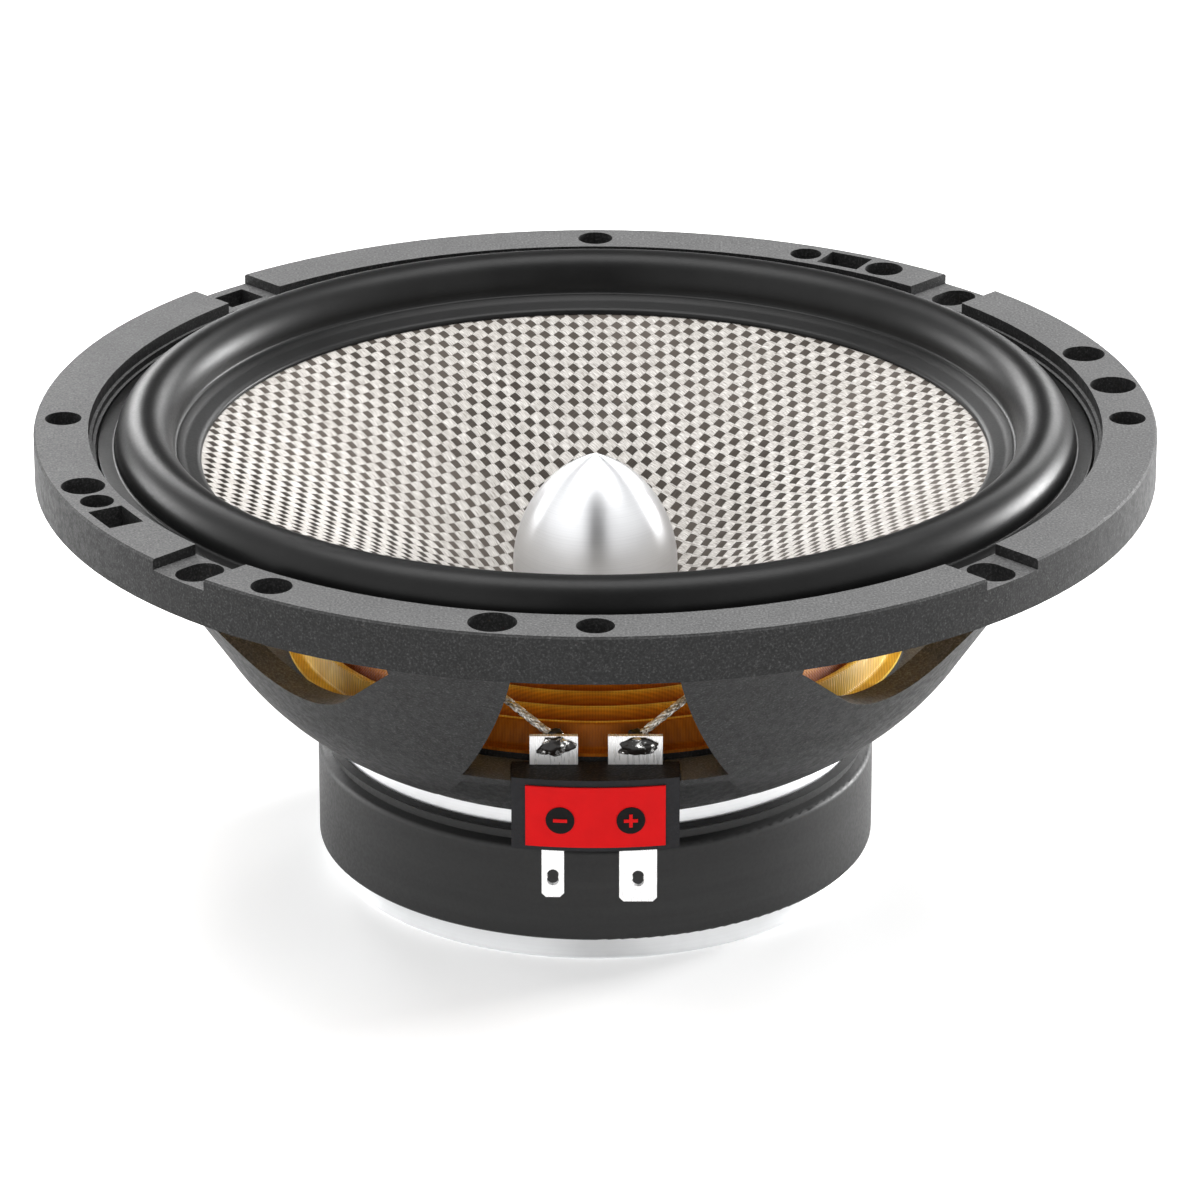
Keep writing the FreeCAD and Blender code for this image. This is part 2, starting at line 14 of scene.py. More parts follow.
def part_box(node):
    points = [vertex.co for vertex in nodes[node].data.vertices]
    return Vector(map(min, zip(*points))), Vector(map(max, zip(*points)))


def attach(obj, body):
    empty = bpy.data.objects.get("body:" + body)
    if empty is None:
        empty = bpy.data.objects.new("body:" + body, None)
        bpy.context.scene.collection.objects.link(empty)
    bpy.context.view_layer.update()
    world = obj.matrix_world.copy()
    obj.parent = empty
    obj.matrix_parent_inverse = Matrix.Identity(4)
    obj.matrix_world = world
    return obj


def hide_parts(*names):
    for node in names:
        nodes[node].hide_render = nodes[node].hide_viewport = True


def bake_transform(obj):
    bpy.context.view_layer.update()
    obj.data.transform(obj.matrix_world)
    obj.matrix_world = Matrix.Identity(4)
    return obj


MM = 0.001

# ---- camera and stage -----------------------------------------------------------------------
CAMERA_AIM_Z = 7.0
CAMERA_DISTANCE = 1025.0
CAMERA_ELEVATION = 21.24
CAMERA_PITCH = 22.735
CAMERA_YAW = 0.041
CAMERA_LENS = 208.9
CAMERA_SENSOR = 36.0
FLOOR_HALF = 6000.0
FLOOR_GLOW = 0.22
FLOOR_GLOW_SEEN = 0.31
LIGHT_TARGET = (0.0, 0.0, -20.0)
LIGHTS = (
    # name, place, size, watts
    ("top", (0, 250, 1200), (1300, 700), 16.0),
    ("back_left", (-420, 1050, 380), (300, 480), 4.2),
    ("back_right", (420, 1050, 380), (300, 480), 2.8),
    ("left", (-1000, 600, 200), (420, 420), 5.0),
    ("right", (1000, 600, 200), (380, 420), 20.0),
)

# ---- woven cone -----------------------------------------------------------------------------
TOW_PITCH = 1.57
WEAVE_STEPS = 3
WEAVE_RELIEF = 0.2
BACK_RELIEF_SHARE = 0.6
RELIEF_MARGIN = 4.2
CONE_THICKNESS = 0.5

# ---- surround -------------------------------------------------------------------------------
ROLL_HALF = 4.3
ROLL_THICKNESS = 0.9
ROLL_SEGMENTS = 320
LIP_ROUND = 0.35
OUTER_FILLET = 0.45
OUTER_RISE = 0.25
INNER_RISE = 0.5
INNER_FILLET = (0.66, 0.70)
INNER_FILLET_OUT = 0.62
INNER_FILLET_UP = 0.72
FLANGE_THICKNESS = 0.6
FLANGE_START = 1.4
CEMENT_GAP = 0.1

# ---- spider ---------------------------------------------------------------------------------
SPIDER_THICKNESS = 0.45
SPIDER_PITCH = 5.34
SPIDER_CREST_R = 43.3
SPIDER_WAVES = 5.25
SPIDER_STEPS = 150
SPIDER_SEGMENTS = 224
CUP_WIDTH = 2.0
CUP_ROUND = 0.6
CUP_FOOT = 0.7
INNER_SWELL = 1.5
# Painted light on the spider's outer band: lighter towards ±X, darker at the front and back.
PAINTED_BAND_START = 0.4
PAINTED_BAND_SPAN = (15.0, 30.0)
PAINTED_BAND_SHARE = (0.42, 1.0)

# ---- leads ----------------------------------------------------------------------------------
LEAD_ROUTE = (
    (-5.9, -45.9, -24.0),
    (-8.6, -45.4, -21.9),
    (-12.9, -43.8, -18.9),
    (-17.6, -39.8, -16.6),
    (-18.8, -33.8, -16.9),
    (-16.6, -28.0, -18.6),
    (-13.4, -22.6, -20.2),
    (-10.4, -17.4, -21.6),
    (-8.0, -12.9, -22.9),
)
LEAD_SPACING = 0.25
BRAID_R = 0.42
BRAID_WAVE = 0.07
STRAND_R = 0.13
STRANDS = 6
BRAID_LAY = 7.0
CORE_R = 0.34
CORE_SIDES = 8
STRAND_SIDES = 6
LUG_FRONT_Y = -47.4

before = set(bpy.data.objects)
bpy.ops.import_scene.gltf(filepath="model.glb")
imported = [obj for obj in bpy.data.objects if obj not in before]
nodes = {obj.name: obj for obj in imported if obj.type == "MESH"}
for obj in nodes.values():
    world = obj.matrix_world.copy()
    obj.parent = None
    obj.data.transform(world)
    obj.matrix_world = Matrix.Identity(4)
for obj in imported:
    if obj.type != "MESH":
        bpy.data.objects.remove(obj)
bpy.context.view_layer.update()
CHASSIS, DIAPHRAGM = "chassis", "diaphragm"


def srgb(red, green, blue):
    """Linear RGBA of an sRGB colour given in 0 to 255."""
    values = [v / 255 for v in (red, green, blue)]
    return [v / 12.92 if v <= 0.04045 else ((v + 0.055) / 1.055) ** 2.4 for v in values] + [1.0]


def shade(tone, share):
    """The linear colour made darker."""
    return [c * share for c in tone[:3]] + [1.0]


# ---- materials ------------------------------------------------------------------------------
class Nodes:
    """Short ways to add shader nodes to a tree."""

    def __init__(self, tree):
        self.tree = tree

    def node(self, kind, feeds=(), **settings):
        made = self.tree.nodes.new(kind)
        for name, value in settings.items():
            setattr(made, name, value)
        for socket, value in dict(feeds).items():
            self.feed(made.inputs[socket], value)
        return made

    def feed(self, socket, value):
        if isinstance(value, bpy.types.NodeSocket):
            self.tree.links.new(value, socket)
        else:
            socket.default_value = value

    def math(self, operation, first, second=0.0):
        made = self.node("ShaderNodeMath", operation=operation)
        for socket, value in zip(made.inputs, (first, second)):
            self.feed(socket, value)
        return made.outputs[0]

    def product(self, first, second):
        return self.math("MULTIPLY", first, second)

    def remap(self, value, low, high, to_low=0.0, to_high=1.0):
        feeds = {"Value": value, "From Min": low, "From Max": high, "To Min": to_low, "To Max": to_high}
        return self.node("ShaderNodeMapRange", feeds, interpolation_type="SMOOTHSTEP").outputs[0]

    def split(self, vector):
        return self.node("ShaderNodeSeparateXYZ", {"Vector": vector}).outputs


class Finish(Nodes):
    """A procedural material and its principled shader."""

    def __init__(self, name, **uniform):
        self.material = bpy.data.materials.new(name)
        self.material.use_nodes = True
        super().__init__(self.material.node_tree)
        self.shader = self.tree.nodes["Principled BSDF"]
        place = self.node("ShaderNodeTexCoord").outputs
        self.point = place["Object"]
        self.normal = place["Normal"]
        for socket, value in uniform.items():
            self.shader.inputs[socket.replace("_", " ")].default_value = value

    def noise(self, scale, detail=2.0, rough=0.5, at=None):
        """Noise whose grains are about 1/scale metres across."""
        feeds = {"Vector": at or self.point, "Scale": scale, "Detail": detail, "Roughness": rough}
        return self.node("ShaderNodeTexNoise", feeds).outputs["Fac"]

    def streaks(self, x_scale, y_scale, z_scale, rough=0.5):
        """Noise drawn out along the axes whose scale is small."""
        x, y, z = self.split(self.point)
        at = self.join(self.product(x, x_scale), self.product(y, y_scale), self.product(z, z_scale))
        return self.noise(1.0, 3, rough, at)

    def cells(self, scale):
        feeds = {"Vector": self.point, "Scale": scale}
        return self.node("ShaderNodeTexVoronoi", feeds).outputs["Distance"]

    def ramp(self, value, *stops):
        """Colour ramp through (place, colour) stops; a colour may be one grey number."""
        made = self.node("ShaderNodeValToRGB", {"Fac": value})
        elements = made.color_ramp.elements
        while len(elements) < len(stops):
            elements.new(0.5)
        for element, (place, colour) in zip(elements, stops):
            element.position = place
            element.color = [colour] * 3 + [1.0] if isinstance(colour, float) else colour
        return made.outputs["Color"]

    def mix(self, factor, first, second):
        made = self.node("ShaderNodeMix", data_type="RGBA", blend_type="MIX")
        for socket, value in ((0, factor), (6, first), (7, second)):
            self.feed(made.inputs[socket], value)
        return made.outputs[2]

    def join(self, x, y, z):
        return self.node("ShaderNodeCombineXYZ", {"X": x, "Y": y, "Z": z}).outputs[0]

    def radius(self):
        """Distance from the axis."""
        x, y, _ = self.split(self.point)
        return self.math("SQRT", self.math("ADD", self.product(x, x), self.product(y, y)))

    def facing_up(self):
        """Height share of the piece's own surface normal."""
        return self.split(self.normal)["Z"]

    def set(self, colour=None, roughness=None, height=None, depth=0.1, strength=1.0, metallic=None):
        """Feeds the shader; height bumps it by depth millimetres."""
        for socket, value in (("Base Color", colour), ("Roughness", roughness), ("Metallic", metallic)):
            if value is not None:
                self.feed(self.shader.inputs[socket], value)
        if height is not None:
            feeds = {"Height": height, "Distance": depth * MM, "Strength": strength}
            bump = self.node("ShaderNodeBump", feeds)
            self.feed(self.shader.inputs["Normal"], bump.outputs["Normal"])
        return self.material


def composite():
    """Glass-filled moulding compound: finely speckled, with a painted sheen that makes the faces looking
    up lighter grey.
    """
    finish = Finish("composite_moulding", Specular_IOR_Level=0.22)
    grain = finish.noise(3000, 2, 0.6)
    cloud = finish.noise(120, 4)
    sides = finish.ramp(grain, (0.34, 0.008), (0.5, 0.014), (0.62, 0.027), (0.74, 0.060))
    # Painted sheen: faces that look up take these lighter tones.
    painted_sheen_tops = finish.ramp(grain, (0.34, 0.072), (0.5, 0.104), (0.62, 0.142), (0.74, 0.205))
    speck_and_painted_sheen = finish.mix(finish.remap(finish.facing_up(), 0.6, 0.95), sides, painted_sheen_tops)
    colour = finish.mix(finish.remap(cloud, 0.3, 0.7, 0.0, 0.12), speck_and_painted_sheen, srgb(46, 46, 48))
    rough = finish.remap(finish.noise(900, 3), 0.3, 0.7, 0.46, 0.60)
    return finish.set(colour, rough, grain, 0.05, 0.6)


def surround_rubber():
    """Moulded butyl rubber: near black with a satin skin."""
    finish = Finish("surround_rubber_skin", Specular_IOR_Level=0.19)
    cloud = finish.noise(160, 4)
    fine = finish.noise(2400, 2)
    colour = finish.ramp(cloud, (0.3, 0.005), (0.7, 0.008))
    rough = finish.remap(fine, 0.3, 0.7, 0.34, 0.40)
    return finish.set(colour, rough, fine, 0.02, 0.3)


def boot_rubber():
    """Softer rubber of the motor cover, with faint mould bands."""
    finish = Finish("boot_rubber_skin", Specular_IOR_Level=0.35)
    band = finish.streaks(14.0, 14.0, 260.0)
    fine = finish.noise(1900, 3)
    colour = finish.ramp(band, (0.3, 0.011), (0.55, 0.015), (0.75, 0.021))
    rough = finish.remap(fine, 0.3, 0.7, 0.44, 0.56)
    return finish.set(colour, rough, fine, 0.03, 0.35)


def turned_metal(name, tone, rough_low, rough_high, ring_scale, depth, spangle):
    """Machined metal with fine rings round the axis, which draw its highlights out along Z."""
    finish = Finish(name, Metallic=1.0, Anisotropic=0.75, Anisotropic_Rotation=0.25)
    tangent = finish.node("ShaderNodeTangent", direction_type="RADIAL", axis="Z")
    finish.feed(finish.shader.inputs["Tangent"], tangent.outputs[0])
    z = finish.split(finish.point)["Z"]
    rings = finish.join(finish.product(finish.radius(), ring_scale), 0.0, finish.product(z, ring_scale))
    ring = finish.noise(1.0, 3, 0.6, rings)
    patch = finish.noise(300, 4)
    bright = finish.ramp(ring, (0.3, shade(tone, 0.92)), (0.62, tone))
    colour = finish.mix(finish.remap(patch, 0.35, 0.7, 0.0, spangle), bright, shade(tone, 0.7))
    rough = finish.remap(ring, 0.3, 0.7, rough_low, rough_high)
    return finish.set(colour, rough, ring, depth, 0.2)


def former_foil():
    """Thin rolled foil of the voice coil former."""
    finish = Finish("former_foil_sheet", Metallic=0.9)
    drawn = finish.streaks(900.0, 900.0, 60.0)
    colour = finish.ramp(drawn, (0.3, srgb(170, 168, 160)), (0.7, srgb(215, 213, 206)))
    return finish.set(colour, finish.remap(drawn, 0.3, 0.7, 0.3, 0.45), drawn, 0.01, 0.3)


def copper_winding():
    """Enamelled round wire, one turn beside the next."""
    finish = Finish("copper_winding", Metallic=0.85, Coat_Weight=0.5, Coat_Roughness=0.15)
    wire = 0.26 * MM
    turn = finish.math("FRACT", finish.math("DIVIDE", finish.split(finish.point)["Z"], wire))
    crown = finish.math("PINGPONG", turn, 0.5)
    tint = finish.noise(500, 3)
    enamel = finish.ramp(tint, (0.3, srgb(176, 92, 44)), (0.7, srgb(205, 120, 62)))
    # Painted shade: the grooves between turns are darkened.
    colour = finish.mix(finish.remap(crown, 0.0, 0.3), srgb(70, 28, 10), enamel)
    return finish.set(colour, finish.remap(tint, 0.3, 0.7, 0.25, 0.4), crown, 0.1, 0.8)


def adhesive():
    """Dark rubbery adhesive with a wet sheen."""
    finish = Finish("neck_adhesive_bead", Specular_IOR_Level=0.6)
    flow = finish.noise(420, 3)
    colour = finish.ramp(flow, (0.3, srgb(34, 24, 16)), (0.7, srgb(62, 42, 26)))
    return finish.set(colour, finish.remap(flow, 0.3, 0.7, 0.18, 0.35), flow, 0.15, 0.6)


def spider_cloth():
    """Resin-dipped cotton with a fine plain weave; its gold is darkened brown by painted shade in the
    troughs and lit by a painted highlight on the crests.
    """
    finish = Finish("spider_cloth_resin", Specular_IOR_Level=0.14)
    x, y, _ = finish.split(finish.point)
    thread_pitch = 0.42 * MM
    warp = finish.math("PINGPONG", finish.math("DIVIDE", x, thread_pitch), 0.5)
    weft = finish.math("PINGPONG", finish.math("DIVIDE", y, thread_pitch), 0.5)
    thread = finish.math("ADD", warp, weft)
    rise = finish.node("ShaderNodeAttribute", attribute_name="rise").outputs["Fac"]
    # Painted light: low rise gives painted shade in the troughs, high rise a painted highlight on the
    # crests.
    base = finish.ramp(
        rise,
        (0.0, srgb(84, 38, 4)),
        (0.55, srgb(176, 98, 14)),
        (0.86, srgb(240, 164, 44)),
        (1.0, srgb(255, 214, 88)),
    )
    cloud = finish.noise(260, 4)
    varied = finish.mix(finish.remap(cloud, 0.3, 0.7, 0.0, 0.4), base, srgb(170, 100, 30))
    colour = finish.mix(finish.remap(thread, 0.15, 0.8, 0.3, 0.0), varied, srgb(90, 44, 6))
    rough = finish.remap(cloud, 0.3, 0.7, 0.34, 0.5)
    return finish.set(colour, rough, thread, 0.12, 0.6)


def glass_weave():
    """Plain-woven glass tows over a gold resin back; one set of tows is painted with a sheen and the
    other with shade, and painted shade darkens the tow edges and the gaps where tows cross.
    """
    finish = Finish("woven_glass")
    x, y, _ = finish.split(finish.point)
    scale = 1 / (math.sqrt(2) * TOW_PITCH * MM)
    u = finish.product(finish.math("ADD", x, y), scale)
    v = finish.product(finish.math("SUBTRACT", y, x), scale)
    cell_u, cell_v = finish.math("FLOOR", u), finish.math("FLOOR", v)
    odd = finish.math("MODULO", finish.math("ABSOLUTE", finish.math("ADD", cell_u, cell_v)), 2.0)
    off_u = finish.math("ABSOLUTE", finish.math("SUBTRACT", finish.math("FRACT", u), 0.5))
    off_v = finish.math("ABSOLUTE", finish.math("SUBTRACT", finish.math("FRACT", v), 0.5))
    inside_u = finish.remap(off_u, 0.35, 0.41, 1.0, 0.0)
    inside_v = finish.remap(off_v, 0.44, 0.50, 1.0, 0.0)
    dark = finish.product(odd, finish.product(inside_u, inside_v))
    # Painted shade in the gaps where four tows meet.
    gap_shade = finish.product(finish.remap(off_u, 0.43, 0.5), finish.remap(off_v, 0.43, 0.5))

    along, across = 1.2, 14.0
    strands_u = finish.join(finish.product(u, along), finish.product(v, across), 0.0)
    strands_v = finish.join(finish.product(u, across), finish.product(v, along), 3.0)
    strand_u = finish.noise(1.0, 2, 0.5, strands_u)
    strand_v = finish.noise(1.0, 2, 0.5, strands_v)
    tow_u = finish.node("ShaderNodeTexWhiteNoise", {"W": cell_v}, noise_dimensions="1D").outputs["Value"]
    tow_v = finish.node("ShaderNodeTexWhiteNoise", {"W": cell_u}, noise_dimensions="1D").outputs["Value"]

    # Painted light: one set of tows is painted as catching a sheen, the other as lying in shade.
    sheen_tones = [(0.32, srgb(140, 135, 129)), (0.5, srgb(190, 186, 181)), (0.68, srgb(226, 223, 219))]
    light = finish.mix(finish.product(tow_v, 0.22), finish.ramp(strand_v, *sheen_tones), srgb(122, 113, 102))
    shade_tones = [(0.32, srgb(16, 13, 11)), (0.5, srgb(32, 28, 25)), (0.68, srgb(66, 60, 55))]
    shaded_tows = finish.mix(finish.product(tow_u, 0.45), finish.ramp(strand_u, *shade_tones), srgb(38, 30, 21))

    # Painted sheen: the shaded tows turn greyer in broad patches, except towards the front left.
    towards = finish.math("ADD", finish.product(x, -0.57), finish.product(y, -0.82))
    front_left = finish.math("DIVIDE", towards, finish.radius())
    cloud = finish.remap(finish.noise(26, 2), 0.35, 0.65, 0.25, 0.75)
    patch = finish.product(cloud, finish.remap(front_left, 0.2, 0.9, 1.0, 0.0))
    shaded_tows = finish.mix(patch, shaded_tows, srgb(104, 97, 91))

    # Painted shade along the edges of the pale tows.
    edge = finish.remap(finish.math("MAXIMUM", off_u, off_v), 0.44, 0.5, 0.0, 0.25)
    woven = finish.mix(dark, finish.mix(edge, light, srgb(112, 106, 98)), shaded_tows)
    front = finish.mix(finish.product(gap_shade, 0.75), woven, srgb(30, 25, 20))
    resin = finish.ramp(strand_u, (0.32, srgb(196, 138, 30)), (0.68, srgb(246, 198, 76)))
    colour = finish.mix(finish.remap(finish.facing_up(), -0.1, 0.1), resin, front)
    sheen = finish.remap(dark, 0.0, 1.0, 0.32, 0.04)
    finish.feed(finish.shader.inputs["Specular IOR Level"], sheen)
    height = finish.math("ADD", strand_u, strand_v)
    return finish.set(colour, finish.remap(height, 0.7, 1.3, 0.3, 0.5), height, 0.05, 0.5)


def ferrite():
    """Sintered ferrite, charcoal with ground faces."""
    finish = Finish("ferrite_ceramic", Metallic=0.2)
    pores = finish.noise(1500, 4, 0.7)
    colour = finish.ramp(pores, (0.35, 0.018), (0.6, 0.045))
    return finish.set(colour, finish.remap(pores, 0.3, 0.7, 0.4, 0.6), pores, 0.05, 0.5)


def moulded_plastic(name, tone, grain_scale, rough_low, rough_high, depth):
    """Injection-moulded plastic with a spark-eroded grain."""
    finish = Finish(name, Specular_IOR_Level=0.12)
    grain = finish.cells(grain_scale)
    cloud = finish.noise(300, 3)
    colour = finish.mix(finish.remap(cloud, 0.3, 0.7), shade(tone, 0.93), tone)
    rough = finish.remap(grain, 0.1, 0.7, rough_low, rough_high)
    return finish.set(colour, rough, grain, depth, 0.5)


def tin_plate():
    """Tin-plated brass with faint rolling streaks."""
    finish = Finish("tin_plated_brass", Metallic=0.35)
    tone = srgb(250, 250, 250)
    streak = finish.streaks(2600.0, 600.0, 220.0, 0.55)
    colour = finish.ramp(streak, (0.3, shade(tone, 0.96)), (0.6, tone))
    return finish.set(colour, finish.remap(streak, 0.3, 0.7, 0.22, 0.36), streak, 0.004, 0.3)


def solder():
    """Bright solder with burnt flux in its hollows."""
    finish = Finish("solder_and_flux")
    flux = finish.noise(620, 3, 0.6)
    burnt = finish.remap(flux, 0.40, 0.47)
    colour = finish.mix(burnt, srgb(240, 240, 238), srgb(22, 17, 13))
    rough = finish.remap(flux, 0.35, 0.6, 0.18, 0.4)
    metal = finish.remap(flux, 0.40, 0.47, 0.9, 0.0)
    return finish.set(colour, rough, finish.noise(1400, 2), 0.05, 0.5, metal)


def tinsel():
    """Silver-plated copper strands."""
    finish = Finish("tinsel_strands", Metallic=0.8)
    tint = finish.noise(1500, 3)
    silver = [(0.3, srgb(168, 158, 142)), (0.55, srgb(222, 218, 210)), (0.75, srgb(245, 244, 240))]
    colour = finish.ramp(tint, *silver)
    return finish.set(colour, finish.remap(tint, 0.3, 0.7, 0.25, 0.4), tint, 0.02, 0.4)


def black_steel():
    """Black zinc plating of the screws."""
    finish = Finish("black_plated_steel", Metallic=0.8)
    wear = finish.noise(900, 4, 0.6)
    colour = finish.ramp(wear, (0.4, 0.030), (0.72, 0.10))
    return finish.set(colour, finish.remap(wear, 0.3, 0.7, 0.3, 0.45), wear, 0.02, 0.4)


PLUG_TONE, ZINC_TONE = srgb(226, 227, 229), srgb(244, 245, 246)
BLOCK_TONE, RED_TONE, BLACK_TONE = srgb(38, 38, 40), srgb(204, 5, 9), srgb(14, 11, 11)
FINISHES = {
    "composite": composite(),
    "surround_rubber": surround_rubber(),
    "glass_weave": glass_weave(),
    "former_foil": former_foil(),
    "copper_wire": copper_winding(),
    "adhesive": adhesive(),
    "spider_cloth": spider_cloth(),
    "satin_aluminium": turned_metal("satin_turned_aluminium", PLUG_TONE, 0.34, 0.38, 9000, 0.01, 0.04),
    "zinc_steel": turned_metal("bright_zinc_steel", ZINC_TONE, 0.40, 0.52, 1800, 0.015, 0.10),
    "ferrite": ferrite(),
    "boot_rubber": boot_rubber(),
    "terminal_plastic": moulded_plastic("terminal_moulding", BLOCK_TONE, 2200, 0.42, 0.6, 0.1),
    "label_red": moulded_plastic("label_red_print", RED_TONE, 3400, 0.42, 0.54, 0.012),
    "label_black": moulded_plastic("label_black_print", BLACK_TONE, 3400, 0.42, 0.54, 0.012),
    "tinned_brass": tin_plate(),
    "solder": solder(),
    "tinsel": tinsel(),
    "black_steel": black_steel(),
}


def finish_cad_nodes():
    """Every CAD node gets the finish of its record slot."""
    for piece in nodes.values():
        slots = [material.name.split(".")[0] for material in piece.data.materials]
        for index, slot in enumerate(slots):
            piece.material_slots[index].material = FINISHES[slot]


# ---- mesh helpers ---------------------------------------------------------------------------
def new_piece(name, vertices, faces, slot, sharp_deg):
    """A smooth-shaded mesh object with its finish and record slot."""
    mesh = bpy.data.meshes.new(name)
    mesh.from_pydata(vertices, [], faces)
    mesh.validate()
    mesh.shade_smooth()
    mesh.set_sharp_from_angle(angle=math.radians(sharp_deg))
    mesh.materials.append(FINISHES[slot])
    piece = bpy.data.objects.new(name, mesh)
    bpy.context.scene.collection.objects.link(piece)
    return piece


def lathe(profile, segments):
    """Vertices and faces of a closed (r, z) profile in millimetres, turned about Z."""
    count = len(profile)
    vertices, faces = [], []
    for step in range(segments):
        angle = 2 * math.pi * step / segments
        c, s = math.cos(angle), math.sin(angle)
        vertices += [(r * c * MM, r * s * MM, z * MM) for r, z in profile]
    for step in range(segments):
        here, there = step * count, (step + 1) % segments * count
        for i in range(count):
            j = (i + 1) % count
            faces.append((here + i, there + i, there + j, here + j))
    return vertices, faces


def arc(centre, radii, start, end, steps):
    """Points of an elliptical arc in the (r, z) plane; angles in degrees from +r."""
    points = []
    for step in range(steps + 1):
        angle = math.radians(start + (end - start) * step / steps)
        points.append((centre[0] + radii[0] * math.cos(angle), centre[1] + radii[1] * math.sin(angle)))
    return points


def section_of(node):
    """(r, z) of every vertex of a CAD node, in millimetres."""
    points = np.array([v.co for v in nodes[node].data.vertices]) / MM
    return np.column_stack([np.hypot(points[:, 0], points[:, 1]), points[:, 2]])


def radial_blend(piece):
    """Lays every point out at its own radius along X, bakes the object's transform into the mesh, then
    puts the first points back.
    """
    mesh = piece.data
    shape = np.empty(len(mesh.vertices) * 3)
    mesh.vertices.foreach_get("co", shape)
    points = shape.reshape(-1, 3)
    laid = np.zeros_like(points)
    laid[:, 0] = np.hypot(points[:, 0], points[:, 1])
    mesh.vertices.foreach_set("co", laid.ravel())
    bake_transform(piece)
    mesh.vertices.foreach_set("co", shape)
    mesh.update()


def cone_front():
    """Polynomial of the cone's front height against radius, in millimetres."""
    best = {}
    for r, z in section_of("cone"):
        r = round(r, 2)
        best[r] = max(z, best.get(r, -math.inf))
    rows = np.array(sorted(best.items()))
    fit = np.polyfit(rows[:, 0], rows[:, 1], 5)
    upper = rows[rows[:, 1] > np.polyval(fit, rows[:, 0]) - 0.1]
    return np.polyfit(upper[:, 0], upper[:, 1], 5)


CONE_FIT = cone_front()
CONE_RADII = section_of("cone")[:, 0]
CONE_NECK_R = CONE_RADII.min()
CONE_RIM_R = CONE_RADII.max()


def cone_z(r):
    return float(np.polyval(CONE_FIT, r))


# ---- soft and moving pieces -----------------------------------------------------------------
def tow_height(along_u, along_v, odd):
    """Height share of the tow on top at a place in a weave cell."""
    if odd:
        along_u, along_v = along_v, along_u
    across = 1 - (2 * along_v - 1) ** 4
    bend = math.sin(math.pi * along_u)
    return across * (0.35 + 0.65 * bend)


def woven_cone():
    """Closed woven shell with the relief of its tows on both faces."""
    step = TOW_PITCH / WEAVE_STEPS
    reach = int(CONE_RIM_R / step) + 2
    half = math.sqrt(0.5)
    vertices, front, back = [], {}, {}

    def corner(i, j):
        """Adds the front and back point of a grid corner, once."""
        if (i, j) in front:
            return
        u, v = i * step, j * step
        x, y = (u - v) * half, (u + v) * half
        r = math.hypot(x, y)
        kept = min(max(r, CONE_NECK_R), CONE_RIM_R)
        x, y = x * kept / r, y * kept / r
        cell_u, cell_v = i // WEAVE_STEPS, j // WEAVE_STEPS
        along_u, along_v = (i % WEAVE_STEPS) / WEAVE_STEPS, (j % WEAVE_STEPS) / WEAVE_STEPS
        rise = WEAVE_RELIEF * tow_height(along_u, along_v, (cell_u + cell_v) % 2)
        bare = min(1.0, max(0.0, CONE_RIM_R - RELIEF_MARGIN - kept))
        z = cone_z(kept)
        front[i, j] = len(vertices)
        vertices.append((x * MM, y * MM, (z + rise * bare) * MM))
        back[i, j] = len(vertices)
        vertices.append((x * MM, y * MM, (z - CONE_THICKNESS + rise * BACK_RELIEF_SHARE) * MM))

    quads = []
    for i in range(-reach, reach):
        for j in range(-reach, reach):
            corners = ((i, j), (i + 1, j), (i + 1, j + 1), (i, j + 1))
            radii = [math.hypot(a * step, b * step) for a, b in corners]
            if min(radii) >= CONE_RIM_R or max(radii) <= CONE_NECK_R:
                continue
            quads.append(corners)
            for a, b in corners:
                corner(a, b)
    faces = []
    edges = {}
    for corners in quads:
        faces.append([front[c] for c in corners])
        faces.append([back[c] for c in reversed(corners)])
        edges.update(dict.fromkeys(zip(corners, corners[1:] + corners[:1])))
    for first, second in edges:
        if (second, first) not in edges:
            faces.append([front[second], front[first], back[first], back[second]])
    piece = new_piece("woven_cone", vertices, faces, "glass_weave", 75.0)
    shell = bmesh.new()
    shell.from_mesh(piece.data)
    bmesh.ops.dissolve_degenerate(shell, dist=0.01 * MM, edges=shell.edges)
    shell.to_mesh(piece.data)
    shell.free()
    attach(piece, DIAPHRAGM)
    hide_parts("cone")


